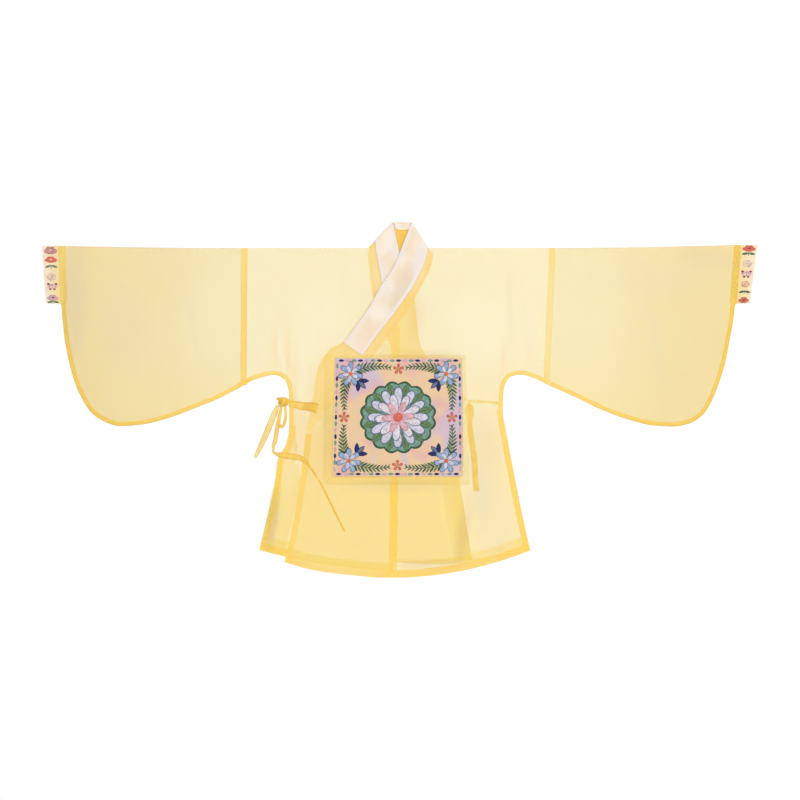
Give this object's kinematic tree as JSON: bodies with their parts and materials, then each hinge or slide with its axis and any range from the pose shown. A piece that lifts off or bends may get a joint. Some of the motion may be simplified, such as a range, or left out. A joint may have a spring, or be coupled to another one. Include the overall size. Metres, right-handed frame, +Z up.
{
  "type": "hanfu",
  "caption": "Sheer cross-collar jacket with lute-shaped sleeves, collar guard, chest badge, flowered cuff ribbons and tape ties, lying flat and closed.",
  "frame": {"origin": "middle of the laid-out jacket's outline, on the surface that it lies on", "axes": "+X along the sleeves towards the wearer's left hand, +Y from the hem to the neck, +Z up, out of the jacket's front"},
  "size_m": [1.7862, 0.8886, 0.0077],
  "materials": {
    "organza": "sheer yellow organza with a soft sheen",
    "collar": "yellow organza laid double",
    "collar_guard": "pale satin weave with faint pink and lavender",
    "badge": "fine many-coloured weave on a peach ground",
    "cuff_ribbon": "flowered woven ribbon on a cream ground",
    "tape": "folded organza tape"
  },
  "bodies": {
    "root": {"body_right": "organza", "body_left": "organza", "overlap_inner": "organza", "overlap_outer": "organza", "sleeve_right": "organza", "sleeve_left": "organza", "cuff_ribbon_right": "cuff_ribbon", "cuff_ribbon_left": "cuff_ribbon", "collar": "collar", "collar_guard": "collar_guard", "badge": "badge", "tie_outer_band": "tape", "tie_outer_knot": "tape", "tie_outer_loop": "tape", "tie_outer_tail_a": "tape", "tie_outer_tail_b": "tape", "tie_inner_band": "tape", "tie_inner_tail": "tape"}
  },
  "joints": []
}
